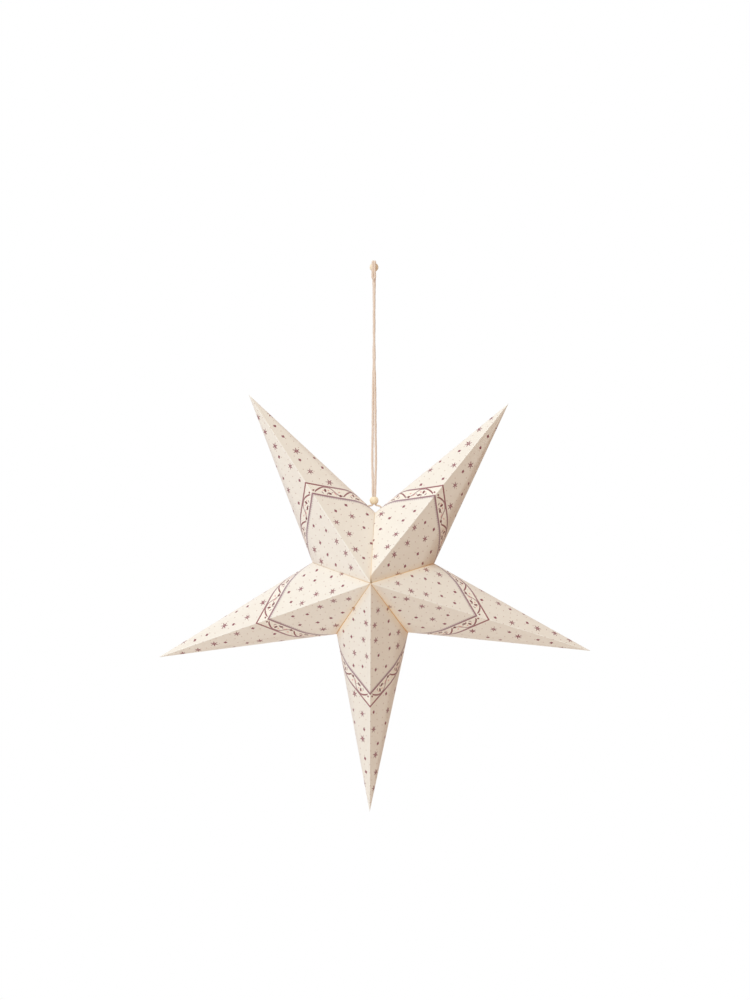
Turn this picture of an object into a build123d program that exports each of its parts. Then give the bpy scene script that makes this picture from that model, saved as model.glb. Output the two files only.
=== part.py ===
from build123d import *
from math import asin, atan2, cos, hypot, pi, radians, sin, sqrt, tan
import os

# A five-pointed paper star that hangs on a doubled cotton string with two wooden beads.
# Millimetres. The origin is the top of the hanging loop, +Z is up, and the star faces -Y.

# Paper star: five sheets, each one rolled into a hollow point
POINT_NAMES = ["point_upper_left", "point_left", "point_bottom", "point_right", "point_upper_right"]
TIP_RADIUS = 250.0  # from the star's axis to the tip of a point
VALLEY_RADIUS = 69.0  # from the star's axis to a glued valley
CLOSURE_RISE = 9.0  # how much further out the top valley lies, where the string draws the star shut
HALF_DEPTH = 70.0  # from the middle plane to the front or back centre
ROLL_RADIUS = 40.0  # radius of a sheet's rolled side, at its valley seam
PAPER = 0.4
TAB_WIDTH = 9.0  # glue tab folded inward along each valley
TAB_START = 12.0  # the tabs stop this far from the axis
RIDGE_TAB_WIDTH = 8.0  # glue tab inside the back ridge, where each sheet closes on itself
RIDGE_TAB_LENGTH = 125.0
RELIEF_RADIUS = 0.8  # the corners stop short of the axis, so that five folds can meet there

# String: one cord, doubled, with a stop knot at each end
CORD = 2.1
HANG_LENGTH = 279.5  # from the top of the loop down to the top valley
LOOP_LENGTH = 21.1  # how far the end of the loop hangs down in front of the upper bead
LOOP_TURN = 2.1  # radius of the cord's middle round the end of the loop
KNOT_DIAMETER = 5.2
HOLE_FROM_VALLEY = 9.5  # string hole, measured along the paper's side from the top valley
TIE_DROP = 2.8  # where the string turns aside, below the lower bead

# Wooden beads
BEAD_DIAMETER = 9.8
BEAD_RIM = 0.25  # flat rim round each end of the bore
LOWER_BEAD_RISE = 13.3  # centre of the lower bead, above the top valley
UPPER_BEAD_DROP = 7.1  # centre of the upper bead, below the top of the loop

# Clearances
STRAND_GAP = 0.2  # between the two strands
BORE_CLEARANCE = 0.2  # between a strand and the bore of a bead
LOOP_CLEARANCE = 0.4  # between the hanging loop and the upper bead
HOLE_CLEARANCE = 0.8  # between the string and the edge of its hole
KNOT_CLEARANCE = 0.4  # between a stop knot and the paper above it

# Worked out from the sizes above
HALF_SECTOR = 180.0 / len(POINT_NAMES)
CLOSURE_RADIUS = VALLEY_RADIUS + CLOSURE_RISE
STAR_Z = -(HANG_LENGTH + CLOSURE_RADIUS)
STRAND_X = (CORD + STRAND_GAP) / 2
BEAD_BORE = 2 * STRAND_X + CORD + 2 * BORE_CLEARANCE
BEAD_HEIGHT = sqrt(BEAD_DIAMETER**2 - (BEAD_BORE + 2 * BEAD_RIM) ** 2)
LOWER_BEAD_Z = LOWER_BEAD_RISE - HANG_LENGTH
UPPER_BEAD_Z = -UPPER_BEAD_DROP
STAR_CENTRE = Vector(0, 0, STAR_Z)


def radial(bearing):
    """Unit vector away from the star's axis, at a bearing in degrees from +X towards +Z."""
    return Vector(cos(radians(bearing)), 0, sin(radians(bearing)))


def valley_plane(bearing):
    """Plane through the star's axis: local x points outward and local y is +Y."""
    tangent = radial(bearing + 90)
    return Plane(origin=STAR_CENTRE, x_dir=radial(bearing), z_dir=tangent)


def seam_slope(valley_radius):
    """Angle between the straight front of a seam and the star's middle plane, in radians."""
    reach = valley_radius - ROLL_RADIUS
    to_centre = hypot(reach, HALF_DEPTH)
    return atan2(HALF_DEPTH, reach) - asin(ROLL_RADIUS / to_centre)


def seam_face(valley_radius, inset=0.0):
    """Area inside a valley seam: straight from the front centre, rolled over, straight to the back."""
    slope = seam_slope(valley_radius)
    roll = ROLL_RADIUS - inset
    end_y = HALF_DEPTH - inset / cos(slope)
    turn_x = valley_radius - ROLL_RADIUS + roll * sin(slope)
    turn_y = roll * cos(slope)
    outline = Polyline((turn_x, turn_y), (0, end_y), (0, -end_y), (turn_x, -turn_y))
    rolled_side = ThreePointArc((turn_x, -turn_y), (valley_radius - inset, 0), (turn_x, turn_y))
    return make_face([outline, rolled_side])


def paper_offsets(valley_radius):
    """How far one paper thickness moves a sheet in the valley plane, and along the point at its tip."""
    slope = seam_slope(valley_radius)
    front = Vector(0, -HALF_DEPTH, 0)
    along_seam = radial(HALF_SECTOR) * cos(slope) + Vector(0, sin(slope), 0)
    along_ridge = radial(0) * TIP_RADIUS - front
    normal = along_seam.cross(along_ridge).normalized()
    across_valley = normal.dot(radial(HALF_SECTOR + 90))
    return PAPER / sqrt(1 - across_valley**2), PAPER / abs(normal.dot(radial(0)))


def half_cone(ridge, side, valley_radius, layers):
    """One half of a point as a solid: every line of the sheet runs from the valley seam to the tip."""
    in_valley, at_tip = paper_offsets(valley_radius)
    seam = valley_plane(ridge + side * HALF_SECTOR) * seam_face(valley_radius, layers * in_valley)
    tip = STAR_CENTRE + radial(ridge) * (TIP_RADIUS - layers * at_tip)
    return loft([seam.face(), Vertex(*tip)], ruled=True)


def valley_tab(ridge, side, valley_radius):
    """Glue tab in the valley plane, folded inward along the seam."""
    in_valley, _ = paper_offsets(valley_radius)
    reach = 2 * TIP_RADIUS
    band = seam_face(valley_radius, in_valley / 2) - seam_face(valley_radius, TAB_WIDTH)
    band &= Pos(TAB_START + reach / 2, 0) * Rectangle(reach, reach)
    return extrude(valley_plane(ridge + side * HALF_SECTOR) * band, amount=-side * PAPER)


def ridge_tab(ridge, valley_radius):
    """Glue tab on the inner face of the sheet, along the back ridge."""
    layer = half_cone(ridge, -1, valley_radius, 1) - half_cone(ridge, -1, valley_radius, 2)
    slab = Box(RIDGE_TAB_LENGTH, HALF_DEPTH, RIDGE_TAB_WIDTH, align=(Align.MIN, Align.MIN, Align.MAX))
    return layer & (valley_plane(ridge) * Pos(TAB_START, 0, 0) * slab)


def string_hole(side):
    """Place of a string hole on the side of an end leaf, and the way out of the paper there."""
    valley = STAR_CENTRE + radial(90) * CLOSURE_RADIUS
    tip = STAR_CENTRE + radial(90 + side * HALF_SECTOR) * TIP_RADIUS
    along_side = (tip - valley).normalized()
    outward = Vector(side * along_side.Z, 0, -side * along_side.X)
    return valley + along_side * HOLE_FROM_VALLEY, outward


def paper_point(index):
    """One sheet: two half points that share the ridges, with their tabs and any string hole."""
    ridge = 90 + HALF_SECTOR + 2 * HALF_SECTOR * index
    sheet = Part()
    for side in (1, -1):
        closes_star = (index == 0 and side == -1) or (index == len(POINT_NAMES) - 1 and side == 1)
        valley_radius = CLOSURE_RADIUS if closes_star else VALLEY_RADIUS
        sheet += half_cone(ridge, side, valley_radius, 0) - half_cone(ridge, side, valley_radius, 1)
        sheet += valley_tab(ridge, side, valley_radius)
        if side == -1:
            sheet += ridge_tab(ridge, valley_radius)
        if closes_star:
            place, outward = string_hole(-side)
            drill = Plane(origin=place, x_dir=(0, 1, 0), z_dir=outward)
            sheet -= drill * Cylinder(CORD / 2 + HOLE_CLEARANCE, 8 * PAPER)
    axis = Plane(origin=STAR_CENTRE, x_dir=(1, 0, 0), z_dir=(0, 1, 0))
    return sheet - axis * Cylinder(RELIEF_RADIUS, 3 * HALF_DEPTH)


def bead(height):
    """Turned ball with flat ends and a bore for both strands, at a height on the string."""
    bore = BEAD_BORE / 2
    rim = bore + BEAD_RIM
    top = BEAD_HEIGHT / 2
    inside = Polyline((rim, -top), (bore, -top), (bore, top), (rim, top))
    outside = ThreePointArc((rim, top), (BEAD_DIAMETER / 2, 0), (rim, -top))
    profile = Plane.XZ * make_face([inside, outside])
    return Pos(0, 0, height) * revolve(profile, Axis.Z)


def bend_radii(points):
    """Radius at each inner corner of a route, from its shorter run and its turn."""
    radii = []
    for before, corner, after in zip(points, points[1:], points[2:]):
        run_in = Vector(*corner) - Vector(*before)
        run_out = Vector(*after) - Vector(*corner)
        half_turn = radians(run_in.get_angle(run_out)) / 2
        radii.append(0.45 * min(run_in.length, run_out.length) / tan(half_turn))
    return radii


def cord_along(name, points):
    """Round cord along a route of straight runs joined by tangent bends."""
    radii = bend_radii(points)
    route = FilletPolyline(*points, radius=radii)
    start = Plane(origin=route @ 0, z_dir=route % 0)
    tube = sweep(start * Circle(CORD / 2), path=route)
    expected = pi * CORD**2 / 4 * route.length
    print(name, "length", round(route.length, 1), "volume ratio", round(tube.volume / expected, 4))
    print(name, "bend radii", [round(radius, 2) for radius in radii])
    return tube


def hanging_string():
    """Both long strands and the loop, which folds forward over the upper bead and hangs in front of it."""
    top = -CORD / 2
    end = CORD / 2 - LOOP_LENGTH
    front = -(BEAD_DIAMETER / 2 + LOOP_CLEARANCE + CORD / 2)
    corner = LOOP_TURN * tan(radians(22.5))
    left = [
        (-STRAND_X, 0, LOWER_BEAD_Z),
        (-STRAND_X, 0, top),
        (-STRAND_X, front, top),
        (-LOOP_TURN, front, end + LOOP_TURN - corner),
        (-corner, front, end),
    ]
    right = [(-x, y, z) for x, y, z in reversed(left)]
    return cord_along("hanging_string", left + right)


def tie(name, side):
    """End of the string: out of the lower bead, aside, through its hole and into its stop knot."""
    hole, outward = string_hole(side)
    knot = hole - outward * (PAPER + KNOT_CLEARANCE + KNOT_DIAMETER / 2)
    turn_z = LOWER_BEAD_Z - BEAD_HEIGHT / 2 - TIE_DROP
    x = -side * STRAND_X
    cord = cord_along(name, [(x, 0, LOWER_BEAD_Z), (x, 0, turn_z), tuple(hole), tuple(knot)])
    return cord + Pos(knot) * Sphere(KNOT_DIAMETER / 2)


nodes = {name: paper_point(index) for index, name in enumerate(POINT_NAMES)}
nodes["hanging_string"] = hanging_string()
nodes["tie_left"] = tie("tie_left", 1)
nodes["tie_right"] = tie("tie_right", -1)
nodes["lower_bead"] = bead(LOWER_BEAD_Z)
nodes["upper_bead"] = bead(UPPER_BEAD_Z)

os.makedirs("parts", exist_ok=True)
for name, node in nodes.items():
    export_step(node, f"parts/{name}.step")
    print(name, "solids", len(node.solids()), "volume", round(node.volume, 1))
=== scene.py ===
# %% [markdown]
# # A printed paper star on a beaded string
# The star is five sheets of stiff cream paper. Each sheet is rolled into a hollow point, and the
# points are glued side by side along their valleys. It hangs on a doubled cotton string with two
# wooden beads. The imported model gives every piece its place, so this lesson only adds what the eye
# sees: the folded sheets with their print, the twisted string, the wood and the light.

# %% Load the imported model
import math

import bpy
import numpy as np
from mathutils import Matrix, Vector


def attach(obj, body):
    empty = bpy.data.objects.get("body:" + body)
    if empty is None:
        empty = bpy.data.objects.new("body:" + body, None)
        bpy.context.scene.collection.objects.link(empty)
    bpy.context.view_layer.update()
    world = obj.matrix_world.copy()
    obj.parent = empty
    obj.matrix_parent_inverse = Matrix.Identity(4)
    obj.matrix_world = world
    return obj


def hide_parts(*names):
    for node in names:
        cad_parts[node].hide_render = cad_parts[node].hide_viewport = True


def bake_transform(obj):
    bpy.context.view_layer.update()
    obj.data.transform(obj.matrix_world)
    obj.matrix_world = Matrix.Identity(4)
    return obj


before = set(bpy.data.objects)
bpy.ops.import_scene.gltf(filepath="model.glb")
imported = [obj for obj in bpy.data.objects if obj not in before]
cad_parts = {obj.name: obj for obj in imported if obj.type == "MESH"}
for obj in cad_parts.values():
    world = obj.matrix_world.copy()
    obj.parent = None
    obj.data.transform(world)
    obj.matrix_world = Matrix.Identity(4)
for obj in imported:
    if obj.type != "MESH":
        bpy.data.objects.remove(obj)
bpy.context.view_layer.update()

# %% [markdown]
# ## Camera
# The photograph was taken from far away, almost level with the star and a little to its right.
# A long lens at 3.5 m keeps the points as even as they are there. The view is set by how much
# of the star's plane fits into the picture from top to bottom.

# %% Camera
STAR_CENTRE = Vector((0.0, 0.0, -0.3575))
AZIMUTH = math.radians(3.15)
ELEVATION = math.radians(-1.1)
CAMERA_DISTANCE = 3.5
VIEW_HEIGHT = 1.1086  # metres of the star's plane, over the whole height of the picture
PICTURE_MIDDLE = (0.00105, 0.0918)  # right of the star's centre and above it


def show(name, data):
    """New object in the scene, for a camera, lamp, curve or mesh."""
    made = bpy.data.objects.new(name, data)
    bpy.context.scene.collection.objects.link(made)
    return made


level = Vector((math.sin(AZIMUTH), -math.cos(AZIMUTH), 0.0))
back = math.cos(ELEVATION) * level + math.sin(ELEVATION) * Vector((0.0, 0.0, 1.0))
right = Vector((math.cos(AZIMUTH), math.sin(AZIMUTH), 0.0))
up = back.cross(right)
lens = bpy.data.cameras.new("camera")
lens.lens = lens.sensor_width * CAMERA_DISTANCE / VIEW_HEIGHT
camera = show("camera", lens)
camera.location = STAR_CENTRE + PICTURE_MIDDLE[0] * right + PICTURE_MIDDLE[1] * up + CAMERA_DISTANCE * back
camera.rotation_mode = "QUATERNION"
camera.rotation_quaternion = back.to_track_quat("Z", "Y")
bpy.context.scene.camera = camera
print("focal length", round(lens.lens, 1))

# %% [markdown]
# ## String
# One cotton cord runs from a knot inside the left hole, up through both beads, over the hanging
# loop and back down to the right hole. Its middle line is one smooth spline, with the route of the
# packed string as its control points. Below the loop the two strands lie one behind the other, and
# they come side by side above the lower bead, so the pair turns about itself on its way down.

# %% Route of the string
STRAND_PAIR = [  # height, half the gap between the strands (millimetres), turn of the pair (degrees)
    (-260.0, 1.20, 0.0),
    (-250.0, 1.35, 0.0),
    (-240.0, 1.50, 0.0),
    (-229.0, 1.95, 1.0),
    (-212.0, 2.00, 4.0),
    (-198.0, 1.65, 8.0),
    (-170.0, 1.55, 18.0),
    (-138.0, 1.42, 34.0),
    (-124.0, 1.18, 48.0),
    (-108.0, 1.18, 62.0),
    (-80.0, 1.18, 75.0),
    (-50.0, 1.30, 80.0),
    (-24.0, 1.25, 62.0),
    (-7.4, 1.15, 0.0),
]
END_LEFT = [
    (-9.45, 0.0, -275.96),
    (-7.50, 0.0, -273.30),
    (-5.60, 0.0, -272.00),
    (-1.30, 0.0, -271.60),
    (-1.15, 0.0, -266.80),
]
RIGHT_KNOT = (10.05, 0.0, -276.66)  # lower than the left one, because the right sheet is
LOOP_LEFT = [
    (-1.15, 0.0, -1.05),
    (-1.15, -6.35, -1.05),
    (-1.12, -6.35, -7.39),
    (-1.12, -6.35, -13.00),
    (-1.45, -6.35, -16.40),
    (-1.45, -6.35, -19.02),
    (-0.70, -6.35, -20.05),
]
left_strand = []
for height, half_gap, turn in STRAND_PAIR:
    aside, behind = math.cos(math.radians(turn)), math.sin(math.radians(turn))
    left_strand.append((-half_gap * aside, half_gap * behind, height))
right_strand = [(-x, -y, z) for x, y, z in reversed(left_strand)]
loop_right = [(-x, y, z) for x, y, z in reversed(LOOP_LEFT)]
end_right = [(-x, y, z) for x, y, z in reversed(END_LEFT)]
end_right[-1] = RIGHT_KNOT
route = np.array(END_LEFT + left_strand + LOOP_LEFT + loop_right + right_strand + end_right) / 1000

route_curve = bpy.data.curves.new("string_route", "CURVE")
route_curve.dimensions = "3D"
route_curve.resolution_u = 24
spline = route_curve.splines.new("NURBS")
spline.points.add(len(route) - 1)
for spline_point, place in zip(spline.points, route):
    spline_point.co = (*place, 1.0)
spline.order_u = 3
spline.use_endpoint_u = True
route_object = show("string_route", route_curve)
route_mesh = bpy.data.meshes.new_from_object(route_object)
string_line = np.array([vertex.co for vertex in route_mesh.vertices])
bpy.data.objects.remove(route_object)
print("string length", round(float(np.linalg.norm(np.diff(string_line, axis=0), axis=1).sum()), 4))

# %% [markdown]
# ## Twisted cotton
# The cord is four soft plies twisted round each other, about one turn every seven millimetres.
# A bump map on a plain tube would lose the scalloped edge that the plies give against the white
# background, so the plies are real tubes that wind along the middle line. Soft cotton swells
# unevenly where it hangs free. The bores of the beads squeeze it to its packed width, also where the
# beads stop when they are pushed along, and below the lower bead the star's weight keeps it thin.

# %% Plies that wind along a line
CORD_WIDTH = 0.0021
FREE_WIDTH = 0.0027
BEAD_HEIGHTS = (-0.2662, -0.0071, -0.1162, -0.0871)  # middles of the two beads, also when pushed along
PLIES = 4
PLY_TURN = 0.0068  # length of one turn of a ply
PLY_SIDES = 9
CORD_STEP = 0.0006  # between two rings of a ply
OFF_LINE = (0.31, 0.89, 0.33)  # any direction that isn't the first one of a cord
SWELLS = ((0.05, 0.0031), (0.04, 0.0013))  # part of the width, and length of cord in a radian
PLY_OFFSET, PLY_RADIUS = 0.17, 0.33  # parts of the cord's width
SQUEEZED, FREE = 0.0045, 0.0085  # from a bead's middle: thin up to the first, full from the second


def twisted_cord(name, line):
    """Mesh of plies wound along a line of points, closed at both ends."""
    steps = np.linalg.norm(np.diff(line, axis=0), axis=1)
    along = np.concatenate([[0.0], np.cumsum(steps)])
    spots = np.linspace(0.0, along[-1], int(along[-1] / CORD_STEP))
    middle = np.stack([np.interp(spots, along, line[:, axis]) for axis in range(3)], axis=1)
    heading = np.gradient(middle, axis=0)
    heading /= np.linalg.norm(heading, axis=1, keepdims=True)
    side = np.zeros_like(middle)
    side[0] = np.cross(heading[0], OFF_LINE)
    for i in range(len(side)):
        side[i] = side[max(i - 1, 0)] - heading[i] * (side[max(i - 1, 0)] @ heading[i])
        side[i] /= np.linalg.norm(side[i])
    over = np.cross(heading, side)
    from_bead = [np.hypot(2 * middle[:, 1], middle[:, 2] - height) for height in BEAD_HEIGHTS]
    from_bead = np.where(middle[:, 2] < BEAD_HEIGHTS[0], 0.0, np.min(from_bead, axis=0))
    uneven = 1.0
    for share, length in SWELLS:
        uneven = uneven + share * np.sin(spots / length)
    width = np.interp(from_bead, (SQUEEZED, FREE), (CORD_WIDTH, FREE_WIDTH))[:, None]
    width = np.maximum(CORD_WIDTH, width * uneven[:, None])
    vertices, faces = [], []
    for ply in range(PLIES):
        wind = 2 * math.pi * (spots / PLY_TURN + ply / PLIES)[:, None]
        centre = middle + PLY_OFFSET * width * (np.cos(wind) * side + np.sin(wind) * over)
        first = len(vertices)
        rim = []
        for edge in range(PLY_SIDES):
            angle = 2 * math.pi * edge / PLY_SIDES
            rim.append(centre + PLY_RADIUS * width * (math.cos(angle) * side + math.sin(angle) * over))
        vertices += np.stack(rim, axis=1).reshape(-1, 3).tolist()
        for step in range(len(spots) - 1):
            ring = first + step * PLY_SIDES
            for edge in range(PLY_SIDES):
                after = (edge + 1) % PLY_SIDES
                faces.append((ring + edge, ring + after, ring + PLY_SIDES + after, ring + PLY_SIDES + edge))
        faces.append(tuple(first + edge for edge in reversed(range(PLY_SIDES))))
        last = first + (len(spots) - 1) * PLY_SIDES
        faces.append(tuple(last + edge for edge in range(PLY_SIDES)))
    mesh = bpy.data.meshes.new(name)
    mesh.from_pydata(vertices, [], faces)
    mesh.shade_smooth()
    return show(name, mesh)


string = twisted_cord("cotton_string", string_line)
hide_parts("hanging_string", "tie_left", "tie_right")
print("string faces", len(string.data.polygons))

# %% [markdown]
# ## Stop knots
# Each end of the string is tied in an overhand knot that can't slip back through its hole. An
# overhand knot pulled tight follows a small trefoil, so the same plies are wound along one.

# %% Knots inside the star
KNOT_DIAMETER = 0.0052
TREFOIL_WIDTH, TREFOIL_RISE = 6, 1.6  # of the formula below, before it is scaled

swing = np.linspace(0, 2 * math.pi, 91)
trefoil_x = np.sin(swing) + 2 * np.sin(2 * swing)
trefoil_z = np.cos(swing) - 2 * np.cos(2 * swing)
trefoil = np.stack([trefoil_x, trefoil_z, -TREFOIL_RISE * np.sin(3 * swing)], axis=1)
knot_line = trefoil * (KNOT_DIAMETER - CORD_WIDTH) / TREFOIL_WIDTH
knots = []
for knot_name, knot_place in (("stop_knot_left", string_line[0]), ("stop_knot_right", string_line[-1])):
    knot = twisted_cord(knot_name, knot_line + knot_place)
    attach(knot, "string_ends")
    knots.append(knot)
print("knots", [knot.name for knot in knots])

# %% [markdown]
# The loop hangs still while the ends turn with the star, and a real string twists between them.
# Two strands, loop and ends are one length of cord. Here the string mesh keeps its place in the
# world, and the two beads are gathered for their finish.

# %% The string in place, and the beads
beads = [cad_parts["lower_bead"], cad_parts["upper_bead"]]
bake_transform(string)
print("string starts at", [round(float(x), 5) for x in string_line[0]])

# %% [markdown]
# ## Sheets of the star
# Every straight line on a rolled sheet runs from its valley seam to the tip. So a sheet is drawn
# as rows of points between one seam and one tip: down the outer face, round the fold into the
# glue tab, and back along the inner face. That gives real paper with two faces and an edge, and a
# fold that is round and not knife-sharp.

# %% Seam of a sheet in its valley plane
PAPER = 0.4  # millimetres, as all sizes of the sheet
TIP_RADIUS = 250.0
HALF_DEPTH = 70.0
EVEN_VALLEY, EVEN_ROLL = 69.0, 40.0  # radius of a valley in the even star, and of a rolled side there
RIDGE_ROUND = 0.9  # half width of a rounded ridge, at the star's centre
ROLL_STEPS = 12
# Parts of the straight front, closest together at the ridge
STRAIGHT_STEPS = [0.0, 0.006, 0.012, 0.017, 0.03, 0.06, 0.11, 0.19, 0.27, 0.42, 0.61, 0.8]


def seam_line(valley_radius, roll_radius, depth, start, inset, rounding=RIDGE_ROUND):
    """Points (outward, +Y) of half a seam, from the front ridge over the rolled side to the back ridge."""
    reach = valley_radius - roll_radius
    slope = math.atan2(depth, reach) - math.asin(roll_radius / math.hypot(reach, depth))
    roll = roll_radius - inset
    end = depth - inset / math.cos(slope)
    turn = reach + roll * math.sin(slope)
    front = []
    for part in STRAIGHT_STEPS:
        r = part * (turn - start)
        lift = r if r > rounding else (r**2 / rounding + rounding) / 2
        front.append((start + r, -end + math.tan(slope) * (start + lift)))
    for step in range(ROLL_STEPS + 1):
        angle = (slope - math.pi / 2) * (1 - step / ROLL_STEPS)
        front.append((reach + roll * math.cos(angle), roll * math.sin(angle)))
    rear = [(r, -y) for r, y in reversed(front[:-1])]
    return np.array(front + rear)


print("points on half a seam", len(seam_line(EVEN_VALLEY, EVEN_ROLL, HALF_DEPTH, 0.0, 0.0)))

# %% [markdown]
# The print is laid out on the flat sheet, before it is rolled. A rolled sheet unrolls exactly: the
# distance to the tip stays, and the angles between neighbouring lines add up. A leaning sheet comes
# out wider or narrower than the even one, so its angles are stretched to those of the print. Each
# corner of the mesh keeps its place on the print, in millimetres.

# %% Angles on the flat print
EVEN_ANGLE = 20.4  # degrees from the front ridge to the middle of a side, on the even sheet laid flat
FLAT_HALF = math.radians(EVEN_ANGLE)


def flat_angles(lines, side_angle):
    """Angle of each line on the flat print, from the front ridge over the side to the back ridge."""
    turns = np.arccos(np.clip((lines[1:] * lines[:-1]).sum(1), -1, 1))
    angles = np.concatenate([[0.0], np.cumsum(turns)])
    true_angles = angles[[0, len(angles) // 2, -1]]
    return np.interp(angles, true_angles, (0.0, math.radians(side_angle), 2 * FLAT_HALF))


print("an even sheet opens", round(4 * EVEN_ANGLE, 1), "degrees")

# %% [markdown]
# Along one line, the paper runs from the tip down to the seam, turns inward round the fold, ends at
# the edge of the glue tab and comes back on its inner face. The rows lie close together beside the
# fold, where the paper bends.

# %% Rows along one line
FOLD = 0.5  # length of paper that each side of a rounded fold takes
INNER_FOLD = 0.7  # the same on the inner face
INNER_CORNER = -1.0  # place of that fold on the flat sheet, past the seam
FOLD_STEPS = (0.25, 0.5, 0.75)
TAB_STEPS = (0.0, 0.4, 1.0)  # parts of the tab
ALONG = [0.99, 0.97, 0.94, 0.9, 0.85, 0.8, 0.74, 0.68, 0.62, 0.56]  # parts of a line from the seam
ALONG += [0.5, 0.44, 0.38, 0.32, 0.26, 0.2, 0.15, 0.1, 0.06, 0.03]
NEAR_SEAM = [3.0, 1.6, FOLD]  # distances from the seam
NEAR_INNER_SEAM = (1.0, 1.1, 1.2, 1.4, 2.0, 3.0)


def line_rows(edge, line, inner_edge, inner_line, reach, inward, tab, own_side):
    """Places between the tips of both faces, with their distances from the seam (less than 0 on the tab)."""
    rows = [(edge + line * reach * v, reach * v) for v in ALONG]
    rows += [(edge + line * d, d) for d in NEAR_SEAM]
    for t in FOLD_STEPS:
        fold = (1 - t) ** 2 * FOLD * line + t**2 * FOLD * inward
        rows.append((edge + fold, FOLD * (0.5 - t)))
    for part in TAB_STEPS:
        drop = FOLD + (tab - FOLD) * part
        rows.append((edge + inward * drop, -drop))
    for part in TAB_STEPS[:0:-1]:
        drop = INNER_FOLD + (tab - INNER_FOLD) * part
        rows.append((edge + inward * drop + own_side * PAPER, -drop))
    rows.append((edge + inward * INNER_FOLD + own_side * PAPER, INNER_CORNER))
    rows += [(inner_edge + inner_line * d, d) for d in NEAR_INNER_SEAM]
    rows += [(inner_edge + inner_line * reach * v, reach * v) for v in reversed(ALONG)]
    return rows


print("rows between tip and seam, on the outer face", len(ALONG) + len(NEAR_SEAM))

# %% [markdown]
# Half a sheet has one line for every point of its seam. Ten tabs would not fit side by side at the
# axis, so they narrow to almost nothing there, and the paper stops just short of it. The ridge of the
# last sheet ends away from the axis, so on its right side the first lines start from that end, the
# lead, instead of from the seam.

# %% Lines of half a sheet
HALF_SECTOR = 36  # degrees between a ridge and a valley
RELIEF_RADIUS = 0.15  # the sheets almost close over the axis
TAB_WIDTH = 9.0
TAB_START, TAB_RAMP = 0.8, 3.0  # from the axis, where a tab begins and over how much it widens
LEAN_START, LEAN_RAMP = 2.0, 10.0  # the same for its turn inward
SEAM_GAP = 0.03  # half the gap between two glued sheets
INNER_INSET, LEAD_INSET = 0.45, 0.55  # inner face behind the outer one, at a seam and at the last ridge
INNER_TIP = 1.9  # and at the tip
SHARP_RIDGE = 0.01  # used in place of RIDGE_ROUND beside the last ridge
LEAD_STEP = 0.1  # place of one more line beside it


def bearing(degrees):
    """Unit vector away from the star's axis, from +X towards +Z."""
    return np.array((math.cos(math.radians(degrees)), 0.0, math.sin(math.radians(degrees))))


def half_sheet(tip, side, valley, depth, start, lead):
    """Points and flat places of half a sheet, line by line from front to back.

    lead holds the end of a ridge that stops short of the star's centre.
    """
    valley_bearing, valley_radius, roll_radius, side_angle = valley
    away = bearing(valley_bearing)
    own_side = -side * bearing(valley_bearing + 90)
    rear = np.array((0.0, 1.0, 0.0))
    rounding = SHARP_RIDGE if len(lead) else RIDGE_ROUND
    outer = seam_line(valley_radius, roll_radius, depth, start, 0.0, rounding)
    inner = seam_line(valley_radius, roll_radius, depth, start, INNER_INSET, rounding)
    tangent = np.gradient(outer, axis=0)
    tangent /= np.linalg.norm(tangent, axis=1, keepdims=True)
    seam = outer[:, :1] * away + outer[:, 1:] * rear
    inner_seam = inner[:, :1] * away + inner[:, 1:] * rear
    if len(lead):
        lead = np.vstack([lead, lead + LEAD_STEP * (seam[1] - lead)])
        seam = np.vstack([lead, seam[1:-1], lead[::-1] * (1, -1, 1)])
        lead = lead + LEAD_INSET * rear
        inner_seam = np.vstack([lead, inner_seam[1:-1], lead[::-1] * (1, -1, 1)])
        outer = np.pad(outer[1:-1], ((2, 2), (0, 0)), mode="edge")
        tangent = np.pad(tangent[1:-1], ((2, 2), (0, 0)), mode="edge")
    inner_tip = tip * (1 - INNER_TIP / TIP_RADIUS)
    to_tip = tip - seam
    reach = np.linalg.norm(to_tip, axis=1)
    lines = to_tip / reach[:, None]
    angles = flat_angles(lines, side_angle)
    lean = np.clip((outer[:, :1] - LEAN_START) / LEAN_RAMP, 0, 1)
    inward = -tangent[:, 1:] * away * lean + tangent[:, :1] * rear
    inward /= np.linalg.norm(inward, axis=1, keepdims=True)
    ramp = np.clip((outer[:, 0] - TAB_START) / TAB_RAMP, 0, 1)
    tab = FOLD + (TAB_WIDTH - FOLD) * ramp * ramp * (3 - 2 * ramp)
    result = []
    for i in range(len(seam)):
        relief = lines[i] * max(0.0, RELIEF_RADIUS - outer[i, 0])
        edges = seam[i] + SEAM_GAP * own_side + relief, inner_seam[i] + relief
        inner_line = inner_tip - inner_seam[i]
        inner_line = inner_line / np.linalg.norm(inner_line)
        rows = line_rows(edges[0], lines[i], edges[1], inner_line, reach[i], inward[i], tab[i], own_side)
        rows = [(tip, reach[i]), *rows, (inner_tip, reach[i])]
        places = np.array([place for place, _ in rows])
        from_seam = np.array([distance for _, distance in rows])
        rho = np.clip(reach[i] - from_seam, 0, None)
        across = side * rho * math.sin(angles[i])
        flat = np.stack([across, rho * math.cos(angles[i]), from_seam], axis=1)
        result.append((places, flat))
    return result


even = (90 + 2 * HALF_SECTOR, EVEN_VALLEY, EVEN_ROLL, EVEN_ANGLE)
sample = half_sheet(TIP_RADIUS * bearing(90 + HALF_SECTOR), 1, even, HALF_DEPTH, 0.0, [])
print("rows on each line", len(sample[0][0]))
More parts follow.
